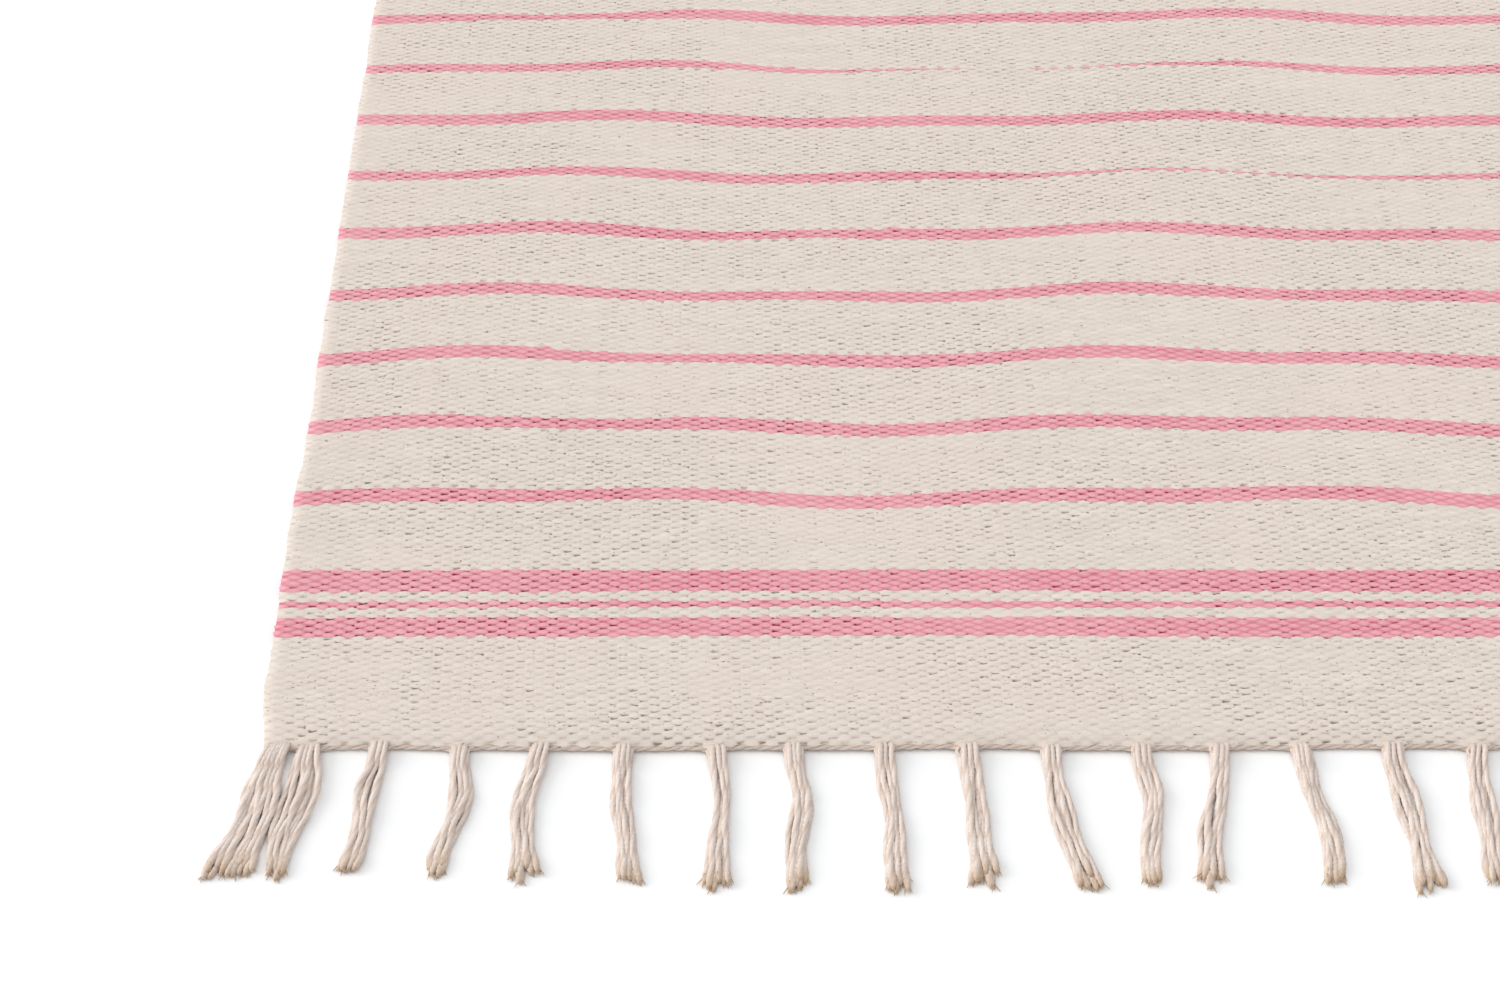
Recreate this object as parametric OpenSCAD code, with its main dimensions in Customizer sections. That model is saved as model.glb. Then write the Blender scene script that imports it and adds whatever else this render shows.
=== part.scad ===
// Flat-woven cotton runner rug with pink weft stripes and an unknotted fringe at both ends.
// +X across the width, +Y along the length, +Z up. The origin is on the floor, at the middle of the rug.
// "Near" is the end at -Y and "far" is the end at +Y. The two ends mirror each other.

/* [Woven body] */
// Width of the woven body, across the warp
body_w = 750; // [450:5:900]
// Length of the woven body without its fringe
body_l = 2000; // [1400:10:3000]
// Thickness of the weave, from the floor to the top of the weft
body_t = 6; // [5:0.5:8]

/* [Warp] */
// Spacing of the warp threads across the width
warp_pitch = 5; // [4:0.5:8]
// Thickness of one warp thread
warp_d = 2.2; // [1.6:0.1:2.4]
// Thickness of the doubled thread inside each side edge
selvedge_d = 2.4; // [1.8:0.1:2.5]

/* [Weft] */
// Number of weft rows along the whole length
rows = 902; // [700:2:1200]

/* [End bands, in weft rows] */
// Rows of plain weft between the end and the bands
border_rows = 31; // [14:1:50]
// Rows in the broad band nearer the end
outer_band_rows = 6; // [3:1:9]
// Rows in the broad band nearer the field
inner_band_rows = 7; // [3:1:9]
// Rows in the thin band between them
thin_rows = 2; // [1:1:4]
// Rows of plain weft between the outer band and the thin one
outer_gap_rows = 3; // [1:1:5]
// Rows of plain weft between the thin band and the inner one
inner_gap_rows = 3; // [1:1:5]

/* [Field stripes] */
// Number of single stripes between the end bands
stripe_count = 31; // [9:2:31]
// Rows from the middle of one single stripe to the next
stripe_rows = 25; // [14:1:26]
// Rows in the broader single stripes
broad_rows = 5; // [2:1:6]
// Rows in the finer single stripes
fine_rows = 4; // [1:1:5]
// How far a stripe wanders to either side of a straight line
wander = 5; // [0:0.5:8]
// Length of one wave of that wandering
wander_l = 350; // [200:10:500]
// Where on the width the waves have their crest
crest_x = 110; // [-200:10:200]

/* [Fringe] */
// Number of evenly spaced tassels at each end
tassel_count = 19; // [9:1:19]
// Distance from the side edge to the middle of the corner tassel
corner_inset = 12.5; // [8:0.5:16]
// Distance from the side edge to the middle of the second corner tassel
second_inset = 27; // [24:0.5:32]
// Length of a tassel, from the twined edge to its tip
tassel_l = 80; // [50:1:110]
// Width of a tassel where it is fullest
tassel_w = 11; // [8:0.5:14]
// Thickness of a tassel as it lies
tassel_t = 5; // [4:0.5:6]
// Thickness of the twined row that locks the last weft
twine_d = 3.6; // [3:0.2:5]

/* [Hidden] */

$fn = 32;
CREAM = "#E4D9CF";
PINK = "#E8A3AC";
WARP = "#DCCDBD";

wall = 1.8;                    // weft on the outer side of the edge cords
slot_clear = 0.2;              // room around the warp inside the weft
slot_h = max(warp_d, selvedge_d) + 2 * slot_clear;
selvedge_x = body_w / 2 - wall - slot_clear - selvedge_d / 2;
warp_n = floor((2 * selvedge_x - selvedge_d - warp_d) / warp_pitch) + 1;

pick = body_l / rows;          // height of one weft row
end_y = body_l / 2;
border_y = end_y - border_rows * pick;
outer_y = border_y - outer_band_rows * pick;
outer_gap_y = outer_y - outer_gap_rows * pick;
thin_y = outer_gap_y - thin_rows * pick;
inner_gap_y = thin_y - inner_gap_rows * pick;
inner_y = inner_gap_y - inner_band_rows * pick;
stripe_step = stripe_rows * pick;

wave_steps = 24;               // straight pieces along one wandering edge
sway = 35;                     // degrees by which the crests swing from side to side
sway_step = 31;                // and how far through that swing each stripe is past the last
overtone = 0.35;               // share of a shorter second wave
overtone_l = 170;              // its length
overtone_step = 47;            // degrees by which it is turned from each stripe to the next
stripe_repeat = 9;             // the fine stripes come at the same places in every so many
fine_places = [5, 7];

// Each tassel's own lie, from the left corner to the right, in mm and in turn: the shift of its root,
// the drift of its tip, how far its middle bows, and how much longer or shorter it is than tassel_l.
LIE = [[-5, -13, -1, -2], [-6, -7, 0, -3], [1, -7, 2, -3], [0, -6, 2, -4], [-2, -3, -2, 0],
       [-2, 5, -2, 2], [1, 3, 3, 4], [-2, 0, 2, 6], [1, 4, -2, 6], [1, 3, 1, 3], [0, 12, -3, 3],
       [3, -4, 2, 2], [1, -13, 2, 3], [-2, 6, 2, 2], [2, 3, -2, 6], [3, -5, -2, 1], [-1, 4, 3, -2],
       [2, 7, -2, 3], [-1, 4, 1, -3], [6, 7, 0, -3], [5, 13, 1, -2]];
corner_fan = 1.3;              // how much wider a corner tassel's tip is, as a share of tassel_w

function pad2(i) = i < 10 ? str("0", i) : str(i);
function tassel_name(end, i) = str(end, "_tassel_", pad2(i));

// The middle of tassel i of an end: the corner one, its close neighbour, then the even ones.
function even_x(k) = -body_w / 2 + corner_inset + k * (body_w - 2 * corner_inset) / (tassel_count - 1);
function tassel_x(i) =
    i == 2 ? -body_w / 2 + second_inset
    : i == tassel_count + 1 ? body_w / 2 - second_inset
    : i < 2 ? even_x(0)
    : i > tassel_count + 1 ? even_x(tassel_count - 1)
    : even_x(i - 2);

// How far stripe k's middle lies from its straight line at x.
function wave(k, x) =
    wander * (1 - overtone) * cos(360 * (x - crest_x) / wander_l + sway * sin(sway_step * k))
    + wander * overtone * cos(360 * x / overtone_l - overtone_step * k);
function stripe_y(k) = (k - (stripe_count - 1) / 2) * stripe_step;
function is_fine(k) = len(search(k % stripe_repeat, fine_places)) > 0;
function stripe_half(k) = pick * (is_fine(k) ? fine_rows : broad_rows) / 2;

// One edge of a stripe, from left to right: side is -1 for its near edge and 1 for its far edge.
// Edge -1 and edge stripe_count are the straight inner sides of the end bands.
function edge(k, side) =
    k < 0 || k >= stripe_count
    ? [for (x = [-1, 1]) [x * body_w / 2, k < 0 ? -inner_y : inner_y]]
    : [for (i = [0 : wave_steps])
        let (x = body_w * (i / wave_steps - 0.5))
        [x, stripe_y(k) + wave(k, x) + side * stripe_half(k)]];
function reversed(list) = [for (i = [len(list) - 1 : -1 : 0]) list[i]];

// Weft packed around the warp: a flat sleeve with a slot through it from end to end.
module weft(y_low, y_high) {
    difference() {
        linear_extrude(height = body_t)
            children();
        translate([-body_w / 2 + wall, y_low - 1, (body_t - slot_h) / 2])
            cube([body_w - 2 * wall, y_high - y_low + 2, slot_h]);
    }
}

module straight_weft(y_low, y_high) {
    weft(y_low, y_high)
        translate([-body_w / 2, y_low])
            square([body_w, y_high - y_low]);
}

module wavy_weft(low_edge, high_edge) {
    weft(min([for (p = low_edge) p[1]]), max([for (p = high_edge) p[1]]))
        polygon(concat(low_edge, reversed(high_edge)));
}

module lengthwise_thread(x, d) {
    translate([x, -end_y, body_t / 2])
        rotate([-90, 0, 0])
            cylinder(d = d, h = body_l);
}

module warp_threads() {
    color(WARP)
        for (i = [0 : warp_n - 1])
            lengthwise_thread((i - (warp_n - 1) / 2) * warp_pitch, warp_d);
}

module selvedge_cord(side) {
    color(WARP)
        lengthwise_thread(side * selvedge_x, selvedge_d);
}

// Plain weft between the single stripes, one panel for each space.
module ground_panels() {
    color(CREAM)
        for (k = [0 : stripe_count])
            wavy_weft(edge(k - 1, 1), edge(k, -1));
}

module field_stripes(fine) {
    color(PINK)
        for (k = [0 : stripe_count - 1])
            if (is_fine(k) == fine)
                wavy_weft(edge(k, -1), edge(k, 1));
}

module at_end(end) {
    mirror([0, end == "far" ? 1 : 0, 0])
        children();
}

module edge_twining(end) {
    color(WARP)
        at_end(end)
            translate([-body_w / 2, -end_y - twine_d / 2, body_t / 2])
                rotate([0, 90, 0])
                    cylinder(d = twine_d, h = body_w);
}

module end_border(end) {
    color(CREAM)
        at_end(end)
            straight_weft(-end_y, -border_y);
}

module end_band(end, outer, inner) {
    color(PINK)
        at_end(end)
            straight_weft(-outer, -inner);
}

module band_gaps(end) {
    color(CREAM)
        at_end(end) {
            straight_weft(-outer_y, -outer_gap_y);
            straight_weft(-thin_y, -inner_gap_y);
        }
}

// Half the width of tassel i at s, from 0 at its root to 1 at its tip: gathered at the root, fullest
// in the middle, and rounded off at the tip. The corner ones hold more threads and spread like a fan.
tip_s = 0.85;
function fan(i, s) = 1 + (i == 1 || i == tassel_count + 2 ? corner_fan * s : 0);
function tassel_half(i, s) = tassel_w / 2 * fan(i, s)
    * (s < tip_s ? 0.78 + 0.22 * sin(180 * s / tip_s)
                 : 0.78 * sqrt(max(0, 1 - pow((s - tip_s) / (1.01 - tip_s), 2))));

// The middle line of a tassel lying on the floor, pointing away from the rug along -Y.
function tassel_mid(i, s) =
    let (lie = LIE[(i - 1) % len(LIE)])
    [tassel_x(i) + lie[0] + lie[1] * s + lie[2] * sin(180 * s), -s * (tassel_l + lie[3])];

// The left side of a tassel's outline when side is -1, and its right side when side is 1.
tassel_steps = 14;
function tassel_side(i, side) =
    [for (j = [0 : tassel_steps])
        let (s = j / tassel_steps)
        tassel_mid(i, s) + [side * tassel_half(i, s), 0]];

module tassel(end, i) {
    color(WARP)
        at_end(end)
            translate([0, -end_y - twine_d])
                linear_extrude(height = tassel_t)
                    polygon(concat(tassel_side(i, -1), reversed(tassel_side(i, 1))));
}

warp_threads();
selvedge_cord(-1);  // selvedge_cord_left
selvedge_cord(1);  // selvedge_cord_right
ground_panels();
field_stripes(false);  // broad_stripes
field_stripes(true);  // fine_stripes
for (end = ["near", "far"]) {
    edge_twining(end);
    end_border(end);
    end_band(end, border_y, outer_y);
    end_band(end, outer_gap_y, thin_y);
    end_band(end, inner_gap_y, inner_y);
    band_gaps(end);
    for (i = [1 : tassel_count + 2])
        tassel(end, i);
}
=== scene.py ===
"""Flat-woven cotton runner rug: cream ground, rose weft stripes and a loose warp fringe.

The woven body is one lattice of warp and weft crossings, wrapped round both side edges. It is cut along
its weft rows into the end borders, the end bands and the gaps between them, and the sections of the
field. The fringe is made of plied yarns that lie on the floor.
"""

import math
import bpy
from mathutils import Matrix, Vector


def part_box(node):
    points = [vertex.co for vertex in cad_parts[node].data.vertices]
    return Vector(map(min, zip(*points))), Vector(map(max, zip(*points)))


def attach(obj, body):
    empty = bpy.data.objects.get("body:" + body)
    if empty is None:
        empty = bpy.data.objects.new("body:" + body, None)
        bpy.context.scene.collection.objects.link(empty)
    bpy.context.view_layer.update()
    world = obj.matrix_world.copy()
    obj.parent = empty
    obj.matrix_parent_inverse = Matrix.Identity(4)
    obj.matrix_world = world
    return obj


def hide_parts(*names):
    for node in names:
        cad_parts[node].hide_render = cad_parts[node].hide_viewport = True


bl_info = {
    "name": "Flat-Woven Runner Rug",
    "version": (1, 0, 0),
    "blender": (4, 5, 0),
    "location": "View3D > Sidebar > Rug",
    "description": "Weaves a cotton runner rug with rose stripes and a yarn fringe",
    "category": "Object",
}

import bmesh
import bpy
import numpy as np

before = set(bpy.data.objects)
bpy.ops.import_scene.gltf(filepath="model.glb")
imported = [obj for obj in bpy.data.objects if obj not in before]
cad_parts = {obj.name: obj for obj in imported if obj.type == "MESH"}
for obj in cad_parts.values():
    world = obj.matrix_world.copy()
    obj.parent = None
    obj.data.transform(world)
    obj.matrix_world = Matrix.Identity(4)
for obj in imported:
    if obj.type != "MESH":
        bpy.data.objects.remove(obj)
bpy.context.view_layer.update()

MM = 0.001
BODY_LOW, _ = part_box("near_end_border")
_, BODY_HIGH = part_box("far_end_border")
HALF_W = BODY_HIGH.x
HALF_L = BODY_HIGH.y
MID_Z = (BODY_LOW.z + BODY_HIGH.z) / 2
WARP_LOW, WARP_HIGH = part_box("warp_threads")
EDGE_CORD_X = sum(corner.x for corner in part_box("selvedge_cord_right")) / 2
TWINE_LOW, TWINE_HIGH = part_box("near_edge_twining")

# Weft rows, counted from the near end, as the woven body is laid out.
ROWS = 902
PICK = 2 * HALF_L / ROWS
END_SPANS = {
    "end_border": 31,
    "outer_band": 6,
    "outer_gap": 3,
    "thin_band": 2,
    "inner_gap": 3,
    "inner_band": 7,
}
END_ROWS = sum(END_SPANS.values())
STRIPE_ROWS = 25
STRIPES = 31
SECTION_ROWS = 75  # three stripes to a section of the field

# The stripes' wander, as the woven body is laid out.
WANDER = 5 * MM
WANDER_L = 350 * MM
CREST_X = 110 * MM
SWAY = math.radians(35)
SWAY_STEP = math.radians(31)
OVERTONE = 0.35
OVERTONE_L = 170 * MM
OVERTONE_STEP = math.radians(47)
# For nine stripes in turn: rows where it is full, rows lost where it is thinnest, and where that is and
# how far it reaches to either side, in mm.
THINNING = (
    (4.7, 0.6, -200, 160),
    (4.8, 1.5, -240, 90),
    (4.6, 1.2, -180, 110),
    (4.6, 0.9, -130, 200),
    (4.6, 1.3, -120, 100),
    (4.0, 3.3, 150, 260),
    (4.8, 0.5, 200, 120),
    (4.0, 3.8, 20, 250),
    (4.8, 2.1, -270, 120),
)
LEAST_ROW = 0.25  # a dyed row that would be narrower than this, in rows, isn't there
THINNING_SHIFT = 170  # how far along the width the thin places move from one nine to the next, in mm

# Each tassel's lie, from the left corner, in mm: its root's shift, its tip's drift, how far its middle
# bows, and how much longer or shorter it is than most.
LIE = (
    (-5, -13, -1, -2),
    (-6, -7, 0, -3),
    (1, -7, 2, -3),
    (0, -6, 2, -4),
    (-2, -3, -2, 0),
    (-2, 5, -2, 2),
    (1, 3, 3, 4),
    (-2, 0, 2, 6),
    (1, 4, -2, 6),
    (1, 3, 1, 3),
    (0, 12, -3, 3),
    (3, -4, 2, 2),
    (1, -13, 2, 3),
    (-2, 6, 2, 2),
    (2, 3, -2, 6),
    (3, -5, -2, 1),
    (-1, 4, 3, -2),
    (2, 7, -2, 3),
    (-1, 4, 1, -3),
    (6, 7, 0, -3),
    (5, 13, 1, -2),
)
TASSELS = len(LIE)
TASSEL_L = 80 * MM
CORNER_INSET = 12.5 * MM
SECOND_INSET = 27 * MM

# How far from its middle a tassel's outermost yarns lie, at its root and further out. The tassel beside a
# corner one is broader than most.
ROOT_REACH = 3.3 * MM
CORNER_ROOT_REACH = 4.6 * MM
REACH = 3.4 * MM
BESIDE_REACH = 6.5 * MM
CORNER_REACH = 10.5 * MM
YARN_SIDES = 8
YARN_WIDE = 1.35  # how much broader a yarn of a tassel lies than it is high
FIBRE_SIDES = 4

# How the woven body gives way at its edges.
EDGE_MARGIN = 25 * MM  # how far in from a side edge its unevenness reaches
CORNER_ROWS = 9  # how many rows the draw of a corner reaches over
PULL_ROWS = 2.5  # how many rows a tassel's pull reaches over
PULL_REACH = 6 * MM  # and how far to either side of its root
END_WOBBLE = 0.5 * MM
WARP_RIDGE = 0.15 * MM  # how far a crease rises where it passes over a warp thread
LIFT_CELLS = (150, 70)  # half rows by columns from one random value of the lift to the next

# The stage. Places and sizes are in metres.
FLOOR_HALF = 45
EYE = (-HALF_W + 0.2333, -HALF_L - 0.879, 0.989)
SENSOR_MM = 36
SUN_COLOUR = (1.0, 0.985, 0.97)
SKY_COLOUR = (0.965, 0.985, 1.0, 1.0)
SUN_LEAN = -12  # degrees by which both lights lean along the rug

CREAM_SLOT = "cream_cotton_weft"
PINK_SLOT = "pink_cotton_weft"
CORD_SLOT = "natural_cotton_cord"
FRINGE_SLOT = "natural_cotton_fringe"


# ---------------------------------------------------------------- colours and shader nodes


def linear(hex_colour):
    """An sRGB hex colour as linear RGBA."""
    channels = [int(hex_colour[i : i + 2], 16) / 255 for i in (1, 3, 5)]
    return [c / 12.92 if c <= 0.04045 else ((c + 0.055) / 1.055) ** 2.4 for c in channels] + [1.0]


def add(tree, kind, inputs=None, **settings):
    """Adds a shader node with its settings, and sets or links its inputs."""
    node = tree.nodes.new("ShaderNode" + kind)
    for name, value in settings.items():
        setattr(node, name, value)
    for name, value in (inputs or {}).items():
        if isinstance(value, bpy.types.NodeSocket):
            tree.links.new(value, node.inputs[name])
        else:
            node.inputs[name].default_value = value
    return node


def cotton(name):
    """A matte cotton shader with a soft sheen from its fibre ends, and its node tree."""
    material = bpy.data.materials.new(name)
    material.use_nodes = True
    tree = material.node_tree
    tree.nodes.clear()
    shader = add(
        tree,
        "BsdfPrincipled",
        {
            "Roughness": 0.93,
            "IOR": 1.5,
            "Specular IOR Level": 0.15,
            "Sheen Weight": 0.12,
            "Sheen Roughness": 0.6,
        },
    )
    output = add(tree, "OutputMaterial")
    tree.links.new(shader.outputs["BSDF"], output.inputs["Surface"])
    return material, tree, shader


def grain(tree, vector, scale, low, high, detail=2.0, stretch=(1, 1, 1)):
    """A noise pattern in metres, stretched along the axes and spread between two levels."""
    placed = add(tree, "Mapping", {"Vector": vector, "Scale": stretch})
    noise = add(
        tree,
        "TexNoise",
        {"Vector": placed.outputs[0], "Scale": scale, "Detail": detail, "Roughness": 0.55},
    )
    return level(tree, noise.outputs["Fac"], low, high)


def mixed(tree, factor, first, second, blend="MIX"):
    """Two colours mixed by a factor."""
    node = add(tree, "Mix", {"Factor": factor}, data_type="RGBA", blend_type=blend)
    for socket, value in ((node.inputs[6], first), (node.inputs[7], second)):
        if isinstance(value, bpy.types.NodeSocket):
            tree.links.new(value, socket)
        else:
            socket.default_value = value
    return node.outputs[2]


def times(tree, first, second):
    """Two values multiplied."""
    return add(tree, "Math", {0: first, 1: second}, operation="MULTIPLY").outputs[0]


def level(tree, value, low, high, top=1.0):
    """A value eased from 0 at low to top at high."""
    node = add(
        tree,
        "MapRange",
        {"Value": value, "From Min": low, "From Max": high, "To Max": top},
        interpolation_type="SMOOTHSTEP",
    )
    return node.outputs["Result"]


def maths(tree, operation, *values):
    """A value worked out from others."""
    return add(tree, "Math", dict(enumerate(values)), operation=operation).outputs[0]


def roughen(tree, shader, place, stretch, fibre, strength, depth):
    """Roughens the shader's surface with fibres, which are a stretched noise."""
    placed = add(tree, "Mapping", {"Vector": place, "Scale": stretch})
    noise = add(tree, "TexNoise", {"Vector": placed.outputs[0], **fibre})
    height = {"Height": noise.outputs["Fac"], "Strength": strength, "Distance": depth}
    tree.links.new(add(tree, "Bump", height).outputs["Normal"], shader.inputs["Normal"])


def weft_cotton(name, colours):
    """Soft spun cotton weft, packed down: pale with a painted highlight on each float's crown, with
    painted shade in the crease between rows and in the hollow where it dives under a warp thread, and with
    slubs along the row and husk flecks."""
    material, tree, shader = cotton(name)
    weave = add(tree, "UVMap", uv_map="weave").outputs["UV"]
    place = add(tree, "TexCoord").outputs["Object"]
    parts = add(tree, "SeparateXYZ", {"Vector": weave})
    across = maths(tree, "COSINE", times(tree, parts.outputs["X"], math.pi))
    along = maths(tree, "COSINE", times(tree, parts.outputs["Y"], math.pi))
    middle = maths(tree, "ABSOLUTE", along)  # 1 in the middle of a row, 0 in the crease between two
    # 1 on a float's crown and -1 in the hollow between two floats of a row.
    relief = times(tree, times(tree, across, along), middle)
    # Painted shade in the hollows: they are darkened by their hollow values, which also set how deep they
    # are.
    strength = add(tree, "Attribute", attribute_name="hollow").outputs["Fac"]
    strength = maths(tree, "MULTIPLY_ADD", strength, colours["hollows"], colours["least_hollow_shade"])
    hollow = times(tree, level(tree, relief, -0.05, -0.62), strength)
    # A painted highlight on each float's crown.
    crown = level(tree, relief, 0.02, 0.55, colours["crown_highlight"])
    # Painted shade in the creases between rows.
    crease = level(tree, middle, 0.5, 0.0, colours["crease_shade"])
    # Slubs are 10 to 20 mm long and a row or less high. Tones of whole rows are 40 mm long.
    slub = grain(tree, place, 110, 0.35, 0.68, 3.0, (1, 5, 1))
    tone = grain(tree, place, 24, 0.35, 0.65, 3.0, (1, 11, 1))
    cloud = grain(tree, place, 7, 0.3, 0.7)
    surface = mixed(tree, slub, linear(colours["base"]), linear(colours["pale"]))
    surface = mixed(tree, times(tree, tone, 0.6), surface, linear(colours["tone"]))
    surface = mixed(tree, times(tree, cloud, 0.5), surface, linear(colours["cloud"]))
    # The painted highlight on the crowns.
    surface = mixed(tree, crown, surface, linear(colours["crown"]))
    # The painted shade in the creases.
    surface = mixed(tree, crease, surface, linear(colours["crease"]))
    # Painted shade in the hollows.
    surface = mixed(tree, hollow, surface, linear(colours["hollow"]))
    # Husk flecks are 1 to 2 mm long and far apart.
    fleck = grain(tree, place, 420, 0.71, 0.76, 1.0, (1, 2.2, 1))
    surface = mixed(tree, times(tree, fleck, colours["flecks"]), surface, linear(colours["fleck"]))
    tree.links.new(surface, shader.inputs["Base Color"])
    # Fibres run along the row, a few tenths of a millimetre apart, and are drawn twice as coarse to show.
    fibre = {"Scale": 480, "Detail": 3.0, "Roughness": 0.65}
    roughen(tree, shader, place, (1, 3.5, 1), fibre, 0.55, 0.7 * MM)
    return material


def yarn_cotton(name, colours):
    """Loose plied warp yarn: pale on the outside of each ply, with painted shade in the groove between
    them, and browner where the cut end is brushed out."""
    material, tree, shader = cotton(name)
    place = add(tree, "UVMap", uv_map="weave").outputs["UV"]
    parts = add(tree, "SeparateXYZ", {"Vector": place})
    # 1 on the crown of each of the two plies and -1 in the grooves between them.
    lobes = maths(tree, "COSINE", times(tree, parts.outputs["X"], 4 * math.pi))
    # Painted shade in the grooves between the plies.
    groove = level(tree, lobes, -0.1, -1.0, 0.7)
    tip = add(tree, "Attribute", attribute_name="hollow").outputs["Fac"]
    spot = add(tree, "TexCoord").outputs["Object"]
    cloud = grain(tree, spot, 60, 0.35, 0.65)
    streak = grain(tree, spot, 300, 0.3, 0.7, 3.0, (2.5, 0.6, 1))
    surface = mixed(tree, cloud, linear(colours["base"]), linear(colours["pale"]))
    surface = mixed(tree, times(tree, streak, 0.45), surface, linear(colours["tone"]))
    # The painted shade in the grooves.
    surface = mixed(tree, groove, surface, linear(colours["groove"]))
    surface = mixed(tree, tip, surface, linear(colours["tip"]))
    tree.links.new(surface, shader.inputs["Base Color"])
    roughen(tree, shader, spot, (3, 0.7, 1), {"Scale": 700, "Detail": 3.0}, 0.6, 0.5 * MM)
    return material


# Each slot's material: its name, whether it is packed weft or loose yarn, and its colours. The crown
# colour is a painted highlight, and the crease, hollow and groove colours are painted shade.
FINISHES = {
    CREAM_SLOT: (
        "undyed cotton, packed",
        weft_cotton,
        {
            "base": "#E2D6CB",
            "pale": "#EBE0D6",
            "tone": "#DBCEC3",
            "cloud": "#E8D9CE",
            "crown": "#EFE5DB",
            "crown_highlight": 0.15,
            "crease": "#C4B4A8",
            "crease_shade": 0.16,
            "hollow": "#7B6A5B",
            "hollows": 0.9,
            "least_hollow_shade": 0.04,
            "fleck": "#7E6647",
            "flecks": 0.8,
        },
    ),
    PINK_SLOT: (
        "rose-dyed cotton, packed",
        weft_cotton,
        {
            "base": "#E89AA6",
            "pale": "#F1AEB6",
            "tone": "#DE8495",
            "cloud": "#F0AFB7",
            "crown": "#F5C0C5",
            "crown_highlight": 0.35,
            "crease": "#C75F78",
            "crease_shade": 0.5,
            "hollow": "#93243F",
            "hollows": 1.8,
            "least_hollow_shade": 0.14,
            "fleck": "#B0827C",
            "flecks": 0.4,
        },
    ),
    FRINGE_SLOT: (
        "undyed cotton, loose",
        yarn_cotton,
        {
            "base": "#E5D6CC",
            "pale": "#ECDFD6",
            "tone": "#DECCC0",
            "groove": "#CFB8A9",
            "tip": "#CBAE90",
        },
    ),
}


def finish(slot):
    """The slot's material, made the first time that it is asked for."""
    name, maker, colours = FINISHES[slot]
    if name not in bpy.data.materials:
        maker(name, colours)
    return bpy.data.materials[name]


# ---------------------------------------------------------------- meshes


def spread_noise(rng, shape, cells):
    """Smooth noise from 0 to 1 over a grid, with one random value to each cell of rows by columns."""
    counts = [int(math.ceil(n / c)) + 2 for n, c in zip(shape, cells)]
    values = rng.random(counts)
    steps = [np.arange(n) / c for n, c in zip(shape, cells)]
    low = [s.astype(int) for s in steps]
    ease = [(s - i) ** 2 * (3 - 2 * (s - i)) for s, i in zip(steps, low)]
    across = ease[1][None, :]
    near = values[low[0]][:, low[1]] * (1 - across) + values[low[0]][:, low[1] + 1] * across
    far = values[low[0] + 1][:, low[1]] * (1 - across) + values[low[0] + 1][:, low[1] + 1] * across
    return near * (1 - ease[0][:, None]) + far * ease[0][:, None]


def patch_mesh(name, patches, finishes):
    """One mesh of grid patches. Each patch holds its points by row and column, their weave coordinates
    and hollow values, and may hold its faces' finish numbers and the rows that stay creased."""
    work = bmesh.new()
    for patch in patches:
        rows, columns = patch["points"].shape[:2]
        bmesh.ops.create_grid(work, x_segments=columns - 1, y_segments=rows - 1, size=0.5)
    mesh = bpy.data.meshes.new(name)
    work.to_mesh(mesh)
    joined = {
        key: np.concatenate([p[key].reshape(-1, p[key].shape[2]) for p in patches])
        for key in ("points", "weave", "hollow")
    }
    mesh.vertices.foreach_set("co", joined["points"].ravel())
    mesh.attributes.new("hollow", "FLOAT", "POINT").data.foreach_set("value", joined["hollow"].ravel())
    mesh.shade_smooth()
    corners = np.empty(len(mesh.loops), np.int32)
    mesh.loops.foreach_get("vertex_index", corners)
    mesh.uv_layers.new(name="weave").uv.foreach_set("vector", joined["weave"][corners].ravel())
    if "finish" in patches[0]:
        columns = patches[0]["points"].shape[1]
        first = corners.reshape(-1, 4).min(1)
        numbers = patches[0]["finish"][first // columns, first % columns]
        mesh.polygons.foreach_set("material_index", numbers.astype(np.int32))
        ends = np.empty(2 * len(mesh.edges), np.int32)
        mesh.edges.foreach_get("vertices", ends)
        rows = ends.reshape(-1, 2) // columns
        creased = (rows[:, 0] == rows[:, 1]) & patches[0]["creased"][rows[:, 0]]
        mesh.attributes.new("sharp_edge", "BOOLEAN", "EDGE").data.foreach_set("value", creased)
    work.clear()
    work.from_mesh(mesh)
    bmesh.ops.remove_doubles(work, verts=work.verts, dist=0.002 * MM)
    work.to_mesh(mesh)
    work.free()
    for slot in finishes:
        mesh.materials.append(finish(slot))
    return mesh


def show(name, mesh, slot, *nodes):
    """Adds the piece to the scene on the rug's one body, in place of its nodes."""
    piece = bpy.data.objects.new(name, mesh)
    bpy.context.scene.collection.objects.link(piece)
    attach(piece, "root")
    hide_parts(*nodes)
    return piece


# ---------------------------------------------------------------- the weave


def wander(rows, x):
    """How far the weft rows lie from straight lines. rows are counted from the middle of the rug."""
    k = rows / STRIPE_ROWS + (STRIPES - 1) / 2
    long_wave = np.cos(2 * np.pi * (x - CREST_X) / WANDER_L + SWAY * np.sin(SWAY_STEP * k))
    short_wave = np.cos(2 * np.pi * x / OVERTONE_L - OVERTONE_STEP * k)
    straight = ROWS / 2 - END_ROWS
    last_stripe = STRIPE_ROWS * (STRIPES - 1) / 2
    ease = np.clip((straight - abs(rows)) / (straight - last_stripe), 0, 1)
    return WANDER * ((1 - OVERTONE) * long_wave + OVERTONE * short_wave) * ease * ease * (3 - 2 * ease)


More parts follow.
